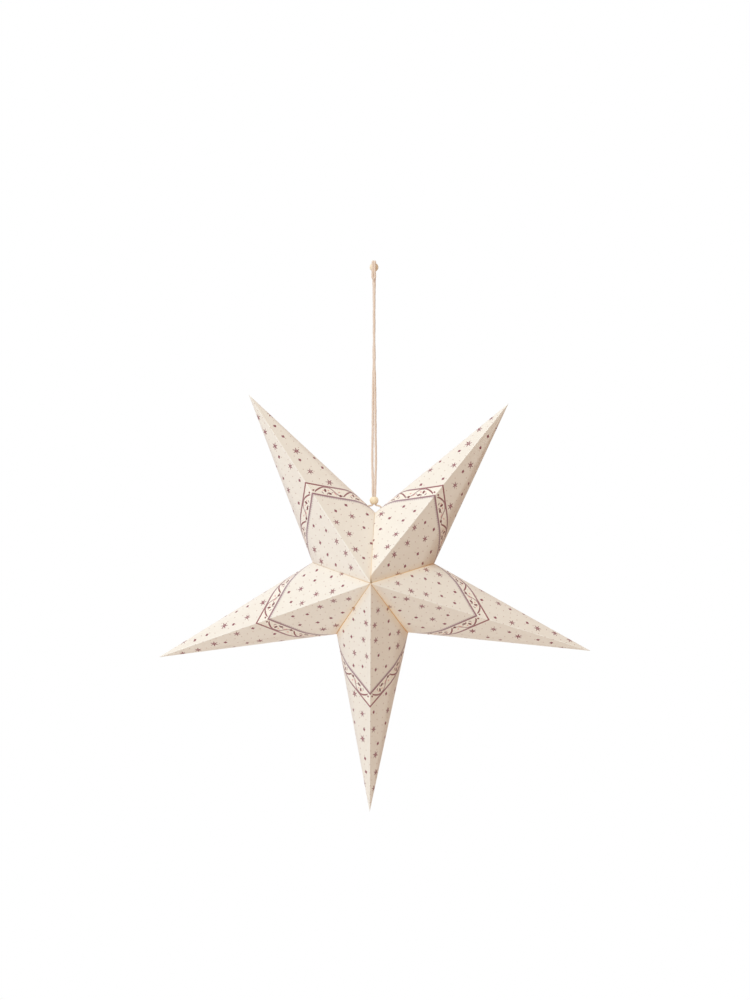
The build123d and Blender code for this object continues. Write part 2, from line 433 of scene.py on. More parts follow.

# %% [markdown]
# Two halves share the front ridge, and the sheet closes on itself at the back ridge. The mesh is a
# closed skin, with the unprinted inner face as its second material. The map for baking is the flat
# sheet itself, so a print baked onto it keeps its sharpness.

# %% Mesh of one paper point
MAP_SIZE = 350.0  # millimetres of flat sheet along one side of the baking map
MAP_MARGIN = 4.0
INNER_SCALE, INNER_STRIP = 0.2, 64.0  # the bare inner face is small, in a strip along the map's top
SHARP_ANGLE = math.radians(60)


def paper_sheet(name, tip, right_valley, left_valley, print_shift, foot, left_depth, right_depth):
    """Mesh object of one rolled sheet with its tabs, in metres."""
    left = half_sheet(tip, 1, left_valley, left_depth, foot, [])
    lead = []
    if foot:
        r, y = seam_line(*left_valley[1:3], left_depth, foot, 0.0)[0]
        lead = np.array([r * bearing(left_valley[0]) + (0.0, y, 0.0)])
    lines = list(reversed(left))[:-1] + half_sheet(tip, -1, right_valley, right_depth, 0.0, lead)
    rows = len(lines[0][0])
    outer_rows = rows // 2
    places = [lines[0][0][0], lines[0][0][-1]]
    flats = [lines[0][1][0], lines[0][1][-1]]
    number = np.zeros((len(lines), rows), int)
    number[:, -1] = 1
    for i, (line_places, line_flats) in enumerate(lines):
        for k in range(1, rows - 1):
            number[i, k] = len(places)
            places.append(line_places[k])
            flats.append(line_flats[k])
    faces, finish = [], []
    for i in range(len(lines) - 1):
        for k in range(rows - 1):
            corners = [number[i, k], number[i, k + 1], number[i + 1, k + 1], number[i + 1, k]]
            faces.append(list(dict.fromkeys(int(c) for c in corners)))
            finish.append(0 if k < outer_rows else 1)
    for i in (0, len(lines) - 1):
        for k in range(outer_rows - 1):
            corners = [number[i, k], number[i, rows - 1 - k], number[i, rows - 2 - k], number[i, k + 1]]
            if i:
                corners.reverse()
            faces.append(list(dict.fromkeys(int(c) for c in corners)))
            finish.append(1)
    mesh = bpy.data.meshes.new(name)
    world = (np.array(places) + np.array((0.0, 0.0, 1000 * STAR_CENTRE.z))) / 1000
    mesh.from_pydata(world.tolist(), [], faces)
    mesh.polygons.foreach_set("material_index", finish)
    corner_vertex = np.zeros(len(mesh.loops), int)
    mesh.loops.foreach_get("vertex_index", corner_vertex)
    flat = np.array(flats)[corner_vertex] - (0.0, print_shift, 0.0)
    sheet_mm = mesh.attributes.new("sheet_mm", "FLOAT_VECTOR", "CORNER")
    sheet_mm.data.foreach_set("vector", flat.astype(np.float32).ravel())
    inside = np.repeat(np.array(finish), [polygon.loop_total for polygon in mesh.polygons])[:, None]
    outer_map = (flat[:, :2] + (MAP_SIZE / 2, MAP_MARGIN)) / MAP_SIZE
    inner_map = (INNER_SCALE * flat[:, :2] + (MAP_SIZE / 2, MAP_SIZE - INNER_STRIP)) / MAP_SIZE
    baking_map = mesh.uv_layers.new(name="OFBake")
    baking_map.data.foreach_set("uv", np.where(inside == 1, inner_map, outer_map).astype(np.float32).ravel())
    mesh.shade_smooth()
    mesh.set_sharp_from_angle(angle=SHARP_ANGLE)
    return show(name, mesh)


print("baking map", MAP_SIZE, "mm")

# %% [markdown]
# A star that was folded and opened by hand is never quite regular. Seen from the front, each tip
# leans a few millimetres from its even place and each valley sits a little further out, further in
# or to one side, and the print has moved on the sheets by up to 3.4 mm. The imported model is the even
# star. Here each valley belongs to the two sheets that meet in it, so they still meet. The string
# draws the top valley shut, so the paper is rolled tighter there, and the ridge of the last sheet
# ends a little way up that valley instead of at the very centre. Beside it the print is stretched by
# about a fifth, so that the band ends where the photograph shows it. A real sheet isn't stretched.

# %% Five sheets, as unevenly opened as the real ones
POINT_NAMES = ["point_upper_left", "point_left", "point_bottom", "point_right", "point_upper_right"]
TIP_LEAN = [(7.3, 6.9), (-2.0, -5.6), (-4.9, -3.5), (1.6, 2.2), (2.2, -3.6)]  # millimetres along X and Z
VALLEYS = [  # bearing, radius, radius of the roll, degrees of print from ridge to middle of the side
    (88.9, 78.0, 27.0, 17.6),
    (161.6, 72.0, EVEN_ROLL, EVEN_ANGLE),
    (234.0, 70.2, EVEN_ROLL, EVEN_ANGLE),
    (304.6, 66.7, EVEN_ROLL, EVEN_ANGLE),
    (17.8, 70.1, EVEN_ROLL, EVEN_ANGLE),
]
PRINT_SHIFT = [3.4, 2.9, 2.1, 1.4, 0.6]  # along each ridge
LAST_RIDGE = (8.5, 73.3, 64.8)  # how far up the valley it ends, and the depth of its left and right faces

sheets = []
for index, node in enumerate(POINT_NAMES):
    lean = np.array((TIP_LEAN[index][0], 0.0, TIP_LEAN[index][1]))
    tip = TIP_RADIUS * bearing(90 + HALF_SECTOR + 2 * HALF_SECTOR * index) + lean
    valleys = VALLEYS[index], VALLEYS[(index + 1) % len(VALLEYS)]
    ridge_end = LAST_RIDGE if node == "point_upper_right" else (0.0, HALF_DEPTH, HALF_DEPTH)
    sheets.append(paper_sheet("paper_" + node, tip, *valleys, PRINT_SHIFT[index], *ridge_end))
print("faces on a sheet", len(sheets[0].data.polygons))

# %% [markdown]
# ## String holes
# The two uppermost sheets each have a punched hole beside the top valley. A punch cuts straight
# through the paper, so a round cutter is taken away from the finished sheet.

# %% Punch the string holes
HOLE_RADIUS = 0.00185
HOLE_FROM_VALLEY = 0.0095
PUNCH_LENGTH = 0.004
TOP_VALLEY = np.array((0.0, 0.0, -0.2795))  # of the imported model

for sheet, side in ((sheets[0], 1), (sheets[-1], -1)):
    tip = np.array(STAR_CENTRE) + TIP_RADIUS / 1000 * bearing(90 + HALF_SECTOR * side)
    along_side = (tip - TOP_VALLEY) / np.linalg.norm(tip - TOP_VALLEY)
    place = Vector(TOP_VALLEY + HOLE_FROM_VALLEY * along_side)
    outward = Vector((side * along_side[2], 0.0, -side * along_side[0]))
    bpy.ops.mesh.primitive_cylinder_add(vertices=32, radius=HOLE_RADIUS, depth=PUNCH_LENGTH, location=place)
    punch = bpy.context.object
    punch.rotation_mode = "QUATERNION"
    punch.rotation_quaternion = outward.to_track_quat("Z", "Y")
    cut = sheet.modifiers.new("punch", "BOOLEAN")
    cut.operation = "DIFFERENCE"
    cut.solver = "EXACT"
    cut.object = punch
    bpy.context.view_layer.update()
    punched = bpy.data.meshes.new_from_object(sheet.evaluated_get(bpy.context.evaluated_depsgraph_get()))
    sheet.modifiers.clear()
    sheet.data = punched
    bpy.data.objects.remove(punch)
    print(sheet.name, "faces with its hole", len(sheet.data.polygons))

for sheet, node in zip(sheets, POINT_NAMES):
    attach(sheet, "star")
    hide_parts(node)

# %% [markdown]
# ## Colours and nodes
# Colours are written as they look on a screen, and one function turns them into the linear values
# that the renderer mixes. One more function adds a node with its settings and links, so that a
# finish reads as a list of steps.


# %% Colour and node helpers
def linear(code):
    """sRGB hex colour as linear red, green, blue and alpha."""
    parts = [int(code[i : i + 2], 16) / 255 for i in (1, 3, 5)]
    return (*[c / 12.92 if c <= 0.04045 else ((c + 0.055) / 1.055) ** 2.4 for c in parts], 1.0)


def add(tree, kind, sockets=None, **settings):
    """Adds one node. Settings are its properties, and sockets take a value or the node that feeds them."""
    made = tree.nodes.new(kind)
    for name, value in settings.items():
        setattr(made, name, value)
    for key, value in (sockets or {}).items():
        if isinstance(key, int):
            entry = made.inputs[key]
        else:
            entry = [s for s in made.inputs if s.name == key and s.enabled][0]
        if isinstance(value, bpy.types.Node):
            value = [s for s in value.outputs if s.enabled][0]
        if isinstance(value, bpy.types.NodeSocket):
            tree.links.new(value, entry)
        else:
            entry.default_value = value
    return made


def blank_material(name):
    """New material, and its node tree with nothing in it."""
    material = bpy.data.materials.new(name)
    material.use_nodes = True
    material.node_tree.nodes.clear()
    return material, material.node_tree


print("cream as linear", [round(c, 3) for c in linear("#F1E9DB")])

# %% [markdown]
# ## Uncoated paper
# The sheet is stiff uncoated paper, calendered but not glossy: matt, cream, with a faint cloud of
# longer and shorter fibres. Colour varies over about a centimetre, and the fibres make a much finer
# bump. The real fibres are about 0.03 mm wide, too fine to show, so they are drawn at 0.5 mm.

# %% Paper stock, shared by the printed face and the bare one
CLOUD, FIBRE, BUCKLE = 11.0, 0.5, 45.0  # millimetres of sheet: patches of colour, fibres, slight waves


def paper_stock(tree, place, cream, shade):
    """Cloudy cream colour and the bump of the fibres, both from the place on the flat sheet."""
    cloud = {"Vector": place, "Scale": 1 / CLOUD, "Detail": 4.0, "Roughness": 0.6}
    cloud = add(tree, "ShaderNodeTexNoise", cloud)
    colour = {"Factor": cloud, "A": linear(shade), "B": linear(cream)}
    colour = add(tree, "ShaderNodeMix", colour, data_type="RGBA")
    fibre = {"Vector": place, "Scale": 1 / FIBRE, "Detail": 3.0, "Roughness": 0.7}
    fibre = add(tree, "ShaderNodeTexNoise", fibre)
    wave = add(tree, "ShaderNodeTexNoise", {"Vector": place, "Scale": 1 / BUCKLE, "Detail": 1.0})
    fibres = add(tree, "ShaderNodeBump", {"Strength": 0.35, "Distance": 0.00006, "Height": fibre})
    bump = add(tree, "ShaderNodeBump", {"Strength": 0.4, "Distance": 0.001, "Height": wave, "Normal": fibres})
    return colour, bump


bare_paper, tree = blank_material("uncoated_paper_bare")
place = add(tree, "ShaderNodeAttribute", attribute_name="sheet_mm").outputs["Vector"]
colour, bump = paper_stock(tree, place, "#F3EDE3", "#EAE1D4")
finish = {"Base Color": colour, "Roughness": 0.9, "IOR": 1.45, "Normal": bump}
shader = add(tree, "ShaderNodeBsdfPrincipled", finish)
add(tree, "ShaderNodeOutputMaterial", {"Surface": shader})
print("made", bare_paper.name)

# %% [markdown]
# ## Print
# Plum ink was screen-printed on the flat sheet. There is a scatter of six-rayed stars and small
# lozenges with pale specks between them, and a border band with a running vine that crosses every
# side of a point. A scatter comes from cells: each cell has one middle, and its motif is drawn
# round that middle. The band comes from two lengths: how far a place is across the band, and how
# far along it.

# %% Print material and the lengths across and along the band
BAND_TILT = math.radians(36.6)  # between the band and a line square to the ridge
BAND_OUTER = 96.4  # millimetres from the tip, measured square to the band
BAND_INNER = 108.0
BAND_MIDDLE = (BAND_OUTER + BAND_INNER) / 2
REAR_TILT = 2 * FLAT_HALF + BAND_TILT
# Directions across the band and along it. The band folds at the ridge and at the middle of a side.
ACROSS = (-math.sin(BAND_TILT), math.cos(BAND_TILT), 0), (math.sin(REAR_TILT), math.cos(REAR_TILT), 0)
ALONG_BAND = (math.cos(BAND_TILT), math.sin(BAND_TILT), 0), (-math.cos(REAR_TILT), math.sin(REAR_TILT), 0)

printed_paper, tree = blank_material("uncoated_paper_screen_printed")
place = add(tree, "ShaderNodeAttribute", attribute_name="sheet_mm").outputs["Vector"]
paper_colour, bump = paper_stock(tree, place, "#F3ECE2", "#EDE4D8")
on_sheet = add(tree, "ShaderNodeVectorMath", {0: place, 1: (1, 1, 0)}, operation="MULTIPLY")
folded = add(tree, "ShaderNodeVectorMath", {0: on_sheet}, operation="ABSOLUTE")


def folded_length(tree, folded, front, rear, operation):
    """Length in one direction before the middle of a side, and in another one behind it."""
    front = add(tree, "ShaderNodeVectorMath", {0: folded, 1: front}, operation="DOT_PRODUCT")
    rear = add(tree, "ShaderNodeVectorMath", {0: folded, 1: rear}, operation="DOT_PRODUCT")
    return add(tree, "ShaderNodeMath", {0: front, 1: rear}, operation=operation)


across = folded_length(tree, folded, *ACROSS, "MAXIMUM")
along = folded_length(tree, folded, *ALONG_BAND, "MINIMUM")
half_band = (BAND_INNER - BAND_OUTER) / 2
in_band = add(tree, "ShaderNodeMath", {0: across, 1: BAND_MIDDLE, 2: half_band}, operation="COMPARE")
print("band width", round(2 * half_band, 1))

# %% [markdown]
# The scatter runs over the whole flat sheet, and its motifs lean outward on both sides of the ridge.
# The rows of cells start beside the ridge. Cells whose motif would touch the band stay empty, so no
# motif is cut there, and so do the cells at the centre of the star.

# %% Cells of the scatter
MOTIF_SPACING = 17.0
UNEVEN = 0.4  # how far a motif strays in its cell
FIRST_ROW = (5.2, 6.0, 0)  # where the cells start, so that their motifs keep off the ridge
MOTIF_TURN = {"To Min": 0.15, "To Max": 0.5}  # radians

cell_place = add(tree, "ShaderNodeVectorMath", {0: on_sheet, 1: FIRST_ROW}, operation="SUBTRACT")
spread = {"Vector": cell_place, "Scale": 1 / MOTIF_SPACING, "Randomness": UNEVEN}
cells = add(tree, "ShaderNodeTexVoronoi", spread, voronoi_dimensions="2D")
chance = add(tree, "ShaderNodeSeparateColor", {0: cells.outputs["Color"]})
middle = {0: cells.outputs["Position"], 1: FIRST_ROW}
middle = add(tree, "ShaderNodeVectorMath", middle, operation="ADD")
from_middle = add(tree, "ShaderNodeVectorMath", {0: on_sheet, 1: middle}, operation="SUBTRACT")
middle_side = add(tree, "ShaderNodeSeparateXYZ", {0: middle}).outputs[0]
middle_side = add(tree, "ShaderNodeMath", {0: middle_side}, operation="SIGN")
turn = add(tree, "ShaderNodeMapRange", {"Value": chance.outputs[0]} | MOTIF_TURN)
turn = add(tree, "ShaderNodeMath", {0: turn, 1: middle_side}, operation="MULTIPLY")
motif_place = {"Vector": from_middle, "Angle": turn}
motif_place = add(tree, "ShaderNodeVectorRotate", motif_place, rotation_type="Z_AXIS")
print("motifs about", MOTIF_SPACING, "mm apart")

# %% Six-rayed star
RAYS = 6
STAR_CORE = 1.2  # from the middle of a star to the notch between two rays
STAR_RAY = 2.9  # how much further out the end of a ray is
STAR_EYE = 0.4  # radius of the unprinted middle
STAR_STRETCH = (1.18, 0.94, 0)  # a star is a little longer than wide
STAR_SIZE = {"To Min": 0.95, "To Max": 1.15}
RAY_POINT = 1.9  # how sharply a ray narrows

star_place = add(tree, "ShaderNodeVectorMath", {0: motif_place, 1: STAR_STRETCH}, operation="MULTIPLY")
distance = add(tree, "ShaderNodeVectorMath", {0: star_place}, operation="LENGTH")
angle = add(tree, "ShaderNodeTexGradient", {"Vector": star_place}, gradient_type="RADIAL")
off_ray = add(tree, "ShaderNodeMath", {0: angle, 1: 1 / (2 * RAYS)}, operation="PINGPONG")
ray = add(tree, "ShaderNodeMath", {0: off_ray, 1: -2.0 * RAYS, 2: 1.0}, operation="MULTIPLY_ADD")
thin_ray = add(tree, "ShaderNodeMath", {0: ray, 1: RAY_POINT}, operation="POWER")
star_edge = add(tree, "ShaderNodeMath", {0: thin_ray, 1: STAR_RAY, 2: STAR_CORE}, operation="MULTIPLY_ADD")
star_size = add(tree, "ShaderNodeMapRange", {"Value": chance.outputs[1]} | STAR_SIZE)
sized_edge = add(tree, "ShaderNodeMath", {0: star_edge, 1: star_size}, operation="MULTIPLY")
in_star = add(tree, "ShaderNodeMath", {0: distance, 1: sized_edge}, operation="LESS_THAN")
in_eye = add(tree, "ShaderNodeMath", {0: distance, 1: STAR_EYE}, operation="LESS_THAN")
in_star = add(tree, "ShaderNodeMath", {0: in_star, 1: in_eye}, operation="SUBTRACT")
print("rays on a star", RAYS)

# %% Lozenge, and the places that stay empty
LOZENGE = (1.6, 2.35)  # half width and half length
LOZENGE_SHARE = 0.55  # of the motifs, the rest are stars
LAST_ROW = 231.0  # from the tip, the paper stays empty beyond it
BAND_MARGIN = 5.0  # and this close to the band

beside = add(tree, "ShaderNodeVectorMath", {0: motif_place}, operation="ABSOLUTE")
beside = {0: beside, 1: (1 / LOZENGE[0], 1 / LOZENGE[1], 0)}
beside = add(tree, "ShaderNodeVectorMath", beside, operation="DOT_PRODUCT")
in_lozenge = add(tree, "ShaderNodeMath", {0: beside, 1: 1.0}, operation="LESS_THAN")
is_star = add(tree, "ShaderNodeMath", {0: chance.outputs[2], 1: LOZENGE_SHARE}, operation="GREATER_THAN")
motif = add(tree, "ShaderNodeMix", {"Factor": is_star, "A": in_lozenge, "B": in_star}, data_type="FLOAT")
middle = add(tree, "ShaderNodeVectorMath", {0: middle}, operation="ABSOLUTE")
near_band = folded_length(tree, middle, *ACROSS, "MAXIMUM")
near_band = {0: near_band, 1: BAND_MIDDLE, 2: half_band + BAND_MARGIN}
near_band = add(tree, "ShaderNodeMath", near_band, operation="COMPARE")
near_centre = add(tree, "ShaderNodeVectorMath", {0: middle}, operation="LENGTH")
near_centre = add(tree, "ShaderNodeMath", {0: near_centre, 1: LAST_ROW}, operation="GREATER_THAN")
empty = add(tree, "ShaderNodeMath", {0: near_band, 1: near_centre}, operation="MAXIMUM")
scatter = add(tree, "ShaderNodeMath", {0: motif, 1: empty}, operation="SUBTRACT", use_clamp=True)
print("share of lozenges", LOZENGE_SHARE)

# %% [markdown]
# Pale specks, about a millimetre across, fill the ground between the motifs. They come from smaller
# cells with one dot in each, and stop at the band.

# %% Specks between the motifs
SPECK_SPACING = 8.5
SPECK_RADIUS = 0.55
SPECK_UNEVEN = 0.35  # how far a speck strays in its cell

spread = {"Vector": place, "Scale": 1 / SPECK_SPACING, "Randomness": SPECK_UNEVEN}
speck_cells = add(tree, "ShaderNodeTexVoronoi", spread, voronoi_dimensions="2D")
speck = {0: speck_cells.outputs["Distance"], 1: SPECK_RADIUS / SPECK_SPACING}
speck = add(tree, "ShaderNodeMath", speck, operation="LESS_THAN")
speck = add(tree, "ShaderNodeMath", {0: speck, 1: in_band}, operation="SUBTRACT", use_clamp=True)
print("specks about", SPECK_SPACING, "mm apart")

# %% [markdown]
# The vine is a stem that climbs from the inner line, eases into the outer one, follows it for a while
# and sinks back slowly, once in 31 mm of band. What is left of the climb, squared, gives the rise, and
# a soft step the way down. The climb starts as a dark brush stroke and thins out, the rest is thin
# and pale, and the same sprig fills every hollow. A leaf or berry is an ellipse: the place is moved,
# turned and stretched until the ellipse is a circle of radius one, and then the distance decides.

# %% Stem of the running vine
WAVE = 31.0
WAVE_START = 82.5  # where the first wave starts, along the band
CLIMB = 0.3  # part of a wave
SINK = (0.42, 0.88)
STEM_LOW = 2.8  # from the middle of the band towards its inner line
STEM_HIGH = -4.6
STEM_HALF = {"To Min": 0.6, "To Max": 1.6}  # half its width, at the end of the climb and at its start
DARK_STROKE = {"From Min": 0.1, "From Max": 0.5}  # of the climb still left, pale to dark

along_vine = add(tree, "ShaderNodeMath", {0: along, 1: WAVE_START}, operation="SUBTRACT")
waves = add(tree, "ShaderNodeMath", {0: along_vine, 1: WAVE}, operation="DIVIDE")
in_wave = add(tree, "ShaderNodeMath", {0: waves}, operation="FRACT")
off_middle = add(tree, "ShaderNodeMath", {0: across, 1: BAND_MIDDLE}, operation="SUBTRACT")
to_climb = {"Value": in_wave, "From Max": CLIMB, "To Min": 1.0, "To Max": 0.0}
to_climb = add(tree, "ShaderNodeMapRange", to_climb)
below = add(tree, "ShaderNodeMath", {0: to_climb, 1: to_climb}, operation="MULTIPLY")
sunk = {"Value": in_wave, "From Min": SINK[0], "From Max": SINK[1]}
sunk = add(tree, "ShaderNodeMapRange", sunk, interpolation_type="SMOOTHSTEP")
below = add(tree, "ShaderNodeMath", {0: below, 1: sunk}, operation="ADD")
stem_place = add(tree, "ShaderNodeMapRange", {"Value": below, "To Min": STEM_HIGH, "To Max": STEM_LOW})
stem_half = add(tree, "ShaderNodeMapRange", {"Value": to_climb} | STEM_HALF)
stem = add(tree, "ShaderNodeMath", {0: off_middle, 1: stem_place, 2: stem_half}, operation="COMPARE")
dark_stroke = add(tree, "ShaderNodeMapRange", {"Value": to_climb} | DARK_STROKE)
stem_ink = {"Factor": dark_stroke, "A": linear("#A27C7E"), "B": linear("#822838")}
stem_ink = add(tree, "ShaderNodeMix", stem_ink, data_type="RGBA")
past_corner = add(tree, "ShaderNodeMath", {0: along_vine, 1: 0.0}, operation="GREATER_THAN")
on_vine = add(tree, "ShaderNodeMath", {0: past_corner, 1: in_band}, operation="MULTIPLY")
print("one wave every", WAVE, "mm")

# %% Leaves, tendrils and berries
# Along the wave, from the middle of the band, length, width, and turn in degrees
LEAVES = [(10.4, -0.8, 4.4, 2.2, 65), (15.8, 2.2, 4.6, 2.2, 14), (27.4, 3.0, 3.0, 2.4, 40)]
TENDRILS = [(8.2, 2.4, 3.4, 1.2, 42), (13.2, 3.0, 3.4, 0.9, 75), (18.4, 0.6, 2.4, 0.9, 140)]
BERRIES = [(8.2, -0.6, 1.8, 1.5, 0), (13.6, -1.4, 2.1, 1.7, 0), (25.4, -1.2, 2.2, 1.8, 0)]
BERRIES += [(21.4, 1.2, 4.4, 1.5, 42)]
CORNER_DOT = (3.0, 131.4, 2.3, 2.3, 0)  # beside the ridge, in the corner of the inner line

vine_places = add(tree, "ShaderNodeMath", {0: in_wave, 1: WAVE}, operation="MULTIPLY")
vine_place = add(tree, "ShaderNodeCombineXYZ", {0: vine_places, 1: off_middle})
ellipses = [(vine_place, "dark", leaf) for leaf in LEAVES]
ellipses += [(vine_place, "mauve", tendril) for tendril in TENDRILS]
ellipses += [(vine_place, "pink", berry) for berry in BERRIES]
ellipses += [(folded, "corner", CORNER_DOT)]
vine = {"stem": stem}
for source, ink, (x, y, length, width, degrees) in ellipses:
    fit = {"Vector": source, "Location": (x, y, 0), "Scale": (length / 2, width / 2, 1)}
    fit["Rotation"] = (0, 0, math.radians(degrees))
    fitted = add(tree, "ShaderNodeMapping", fit, vector_type="TEXTURE")
    fitted = add(tree, "ShaderNodeVectorMath", {0: fitted}, operation="LENGTH")
    covered = add(tree, "ShaderNodeMath", {0: fitted, 1: 1.0}, operation="LESS_THAN")
    if ink in vine:
        covered = add(tree, "ShaderNodeMath", {0: vine[ink], 1: covered}, operation="MAXIMUM")
    vine[ink] = covered
for ink in ("stem", "dark", "mauve", "pink"):
    vine[ink] = add(tree, "ShaderNodeMath", {0: vine[ink], 1: on_vine}, operation="MULTIPLY")
print("leaves, tendrils and berries in a sprig", len(ellipses) - 1)

# %% [markdown]
# Two lines close the band, dark where they start at the ridge and paler where they run round the
# side. The inner one has a fringe of fine teeth towards the centre, drawn about half as dense as a
# real one, and a fine stipple fills the band.

# %% Lines and stipple of the band
LINE_HALF = 0.88  # half the width of a line
TOOTH = 1.2  # half the distance between two teeth
FRINGE = (1.4, 3.5)  # beyond the inner line, where the fringe starts to fade and where it ends
PALE_FROM, PALE_TO = 8.0, 34.0  # beside the ridge, where the lines turn pale
STIPPLE_SPACING = 1.9
STIPPLE_SIZE = 0.16  # radius of a dot, as a part of the spacing

stipple = {"Vector": on_sheet, "Scale": 1 / STIPPLE_SPACING}
stipple = add(tree, "ShaderNodeTexVoronoi", stipple, voronoi_dimensions="2D")
stipple = {0: stipple.outputs["Distance"], 1: STIPPLE_SIZE}
stipple = add(tree, "ShaderNodeMath", stipple, operation="LESS_THAN")
stipple = add(tree, "ShaderNodeMath", {0: stipple, 1: in_band}, operation="MULTIPLY")
outer_line = add(tree, "ShaderNodeMath", {0: across, 1: BAND_OUTER, 2: LINE_HALF}, operation="COMPARE")
inner_line = add(tree, "ShaderNodeMath", {0: across, 1: BAND_INNER, 2: LINE_HALF}, operation="COMPARE")
tooth = add(tree, "ShaderNodeMath", {0: along, 1: TOOTH}, operation="PINGPONG")
to_fringe = add(tree, "ShaderNodeMath", {0: across, 1: tooth}, operation="ADD")
halo = {"Value": to_fringe, "From Min": BAND_INNER + FRINGE[0], "From Max": BAND_INNER + FRINGE[1]}
halo = add(tree, "ShaderNodeMapRange", halo | {"To Min": 0.95, "To Max": 0.0})
beyond_line = add(tree, "ShaderNodeMath", {0: across, 1: BAND_INNER}, operation="GREATER_THAN")
halo = add(tree, "ShaderNodeMath", {0: halo, 1: beyond_line}, operation="MULTIPLY")
parts = add(tree, "ShaderNodeSeparateXYZ", {0: place})
beside_ridge = add(tree, "ShaderNodeMath", {0: parts.outputs[0]}, operation="ABSOLUTE")
paler = {"Value": beside_ridge, "From Min": PALE_FROM, "From Max": PALE_TO}
paler = add(tree, "ShaderNodeMapRange", paler)
outer_ink = {"Factor": paler, "A": linear("#8A3240"), "B": linear("#976D78")}
outer_ink = add(tree, "ShaderNodeMix", outer_ink, data_type="RGBA")
inner_ink = {"Factor": paler, "A": linear("#8E5664"), "B": linear("#9C7C88")}
inner_ink = add(tree, "ShaderNodeMix", inner_ink, data_type="RGBA")
print("lines", BAND_OUTER, BAND_INNER)

# %% [markdown]
# The inks go on in the order a printer would lay them down: pale specks, pink, mauve and then the
# dark plum. Screen ink on uncoated paper is never quite even, so a fine noise thins it here and
# there. Where a sheet was creased, the ridges are rubbed pale, and that pale line is also a painted
# highlight of the rounded fold. Glue has tinted the valleys. Beside them, a painted warm glow of
# light that shines through the paper and bounces between the sheets spreads about a centimetre.
# Glue tint and glow are both painted strongest at the lower right.

# %% Inks on the paper
INK_GRAIN = 0.9
THIN_INK = {"From Min": 0.3, "From Max": 0.6, "To Min": 0.75, "To Max": 1.0}  # noise, and cover
# Pale line along each ridge: rubbed paper, and also a painted highlight where the rounded fold catches the
# light.
RUBBED_AND_HIGHLIGHT = {"From Min": 0.3, "From Max": 1.0, "To Min": 0.5, "To Max": 0.0}  # from a ridge, and strength

ink_noise = add(tree, "ShaderNodeTexNoise", {"Vector": place, "Scale": 1 / INK_GRAIN, "Detail": 2.0})
thin_ink = add(tree, "ShaderNodeMapRange", {"Value": ink_noise} | THIN_INK)
rubbed_and_highlight = add(tree, "ShaderNodeMapRange", {"Value": beside_ridge} | RUBBED_AND_HIGHLIGHT)
colour = {"Factor": in_band, "A": paper_colour, "B": linear("#F6EFE3")}
colour = add(tree, "ShaderNodeMix", colour, data_type="RGBA")
# The ridge is painted paler here: rubbed paper and a painted highlight of the fold.
colour = {"Factor": rubbed_and_highlight, "A": colour, "B": linear("#FFFDF6")}
colour = add(tree, "ShaderNodeMix", colour, data_type="RGBA")
for covered, ink, cover in (
    (speck, linear("#C2A297"), 0.85),
    (stipple, linear("#CDB0A4"), 0.6),
    (halo, linear("#A18990"), 0.75),
    (vine["pink"], linear("#E09A92"), 0.75),
    (vine["mauve"], linear("#A0777A"), 0.9),
    (outer_line, outer_ink, 0.95),
    (inner_line, inner_ink, 0.92),
    (vine["stem"], stem_ink, 0.95),
    (vine["dark"], linear("#701A2C"), 1.0),
    (vine["corner"], linear("#822838"), 0.97),
    (scatter, linear("#82233F"), 0.98),
):
    strength = add(tree, "ShaderNodeMath", {0: covered, 1: cover}, operation="MULTIPLY")
    strength = add(tree, "ShaderNodeMath", {0: strength, 1: thin_ink}, operation="MULTIPLY")
    colour = add(tree, "ShaderNodeMix", {"Factor": strength, "A": colour, "B": ink}, data_type="RGBA")
print("inks laid down")

# %% Glue and painted glow in the valleys, and the finished paper
# Glue colour on the seam, partly a painted glow of light shining through the paper.
GLUE_AND_GLOW_LINE = {"From Min": 0.4, "From Max": 1.3, "To Min": 1.0, "To Max": 0.0}  # from the seam, and strength
# Painted warm glow beside each valley: light that shines through the paper and bounces between the sheets,
# fading over 13 mm.
PAINTED_VALLEY_GLOW = {"From Max": 13.0, "To Min": 0.24, "To Max": 0.0}
LOW_RIGHT = (0.5, 0, -0.85)
# Metres that way, and strength of the tint: a painted glow, strongest at the lower right.
GLOW_BY_SIDE = {"From Min": -0.03, "From Max": 0.03, "To Min": 0.2, "To Max": 0.95}

from_seam = add(tree, "ShaderNodeMath", {0: parts.outputs[2]}, operation="ABSOLUTE")
glue_and_glow = add(tree, "ShaderNodeMapRange", {"Value": from_seam} | GLUE_AND_GLOW_LINE)
painted_glow = {"Value": from_seam} | PAINTED_VALLEY_GLOW
painted_glow = add(tree, "ShaderNodeMapRange", painted_glow, interpolation_type="SMOOTHSTEP")
glue_and_glow = add(tree, "ShaderNodeMath", {0: glue_and_glow, 1: painted_glow}, operation="MAXIMUM")
spot = add(tree, "ShaderNodeTexCoord").outputs["Object"]
spot = add(tree, "ShaderNodeVectorMath", {0: spot, 1: STAR_CENTRE}, operation="SUBTRACT")
low_right = add(tree, "ShaderNodeVectorMath", {0: spot, 1: LOW_RIGHT}, operation="DOT_PRODUCT")
glow_by_side = add(tree, "ShaderNodeMapRange", {"Value": low_right} | GLOW_BY_SIDE)
glue_and_glow = add(tree, "ShaderNodeMath", {0: glue_and_glow, 1: glow_by_side}, operation="MULTIPLY")
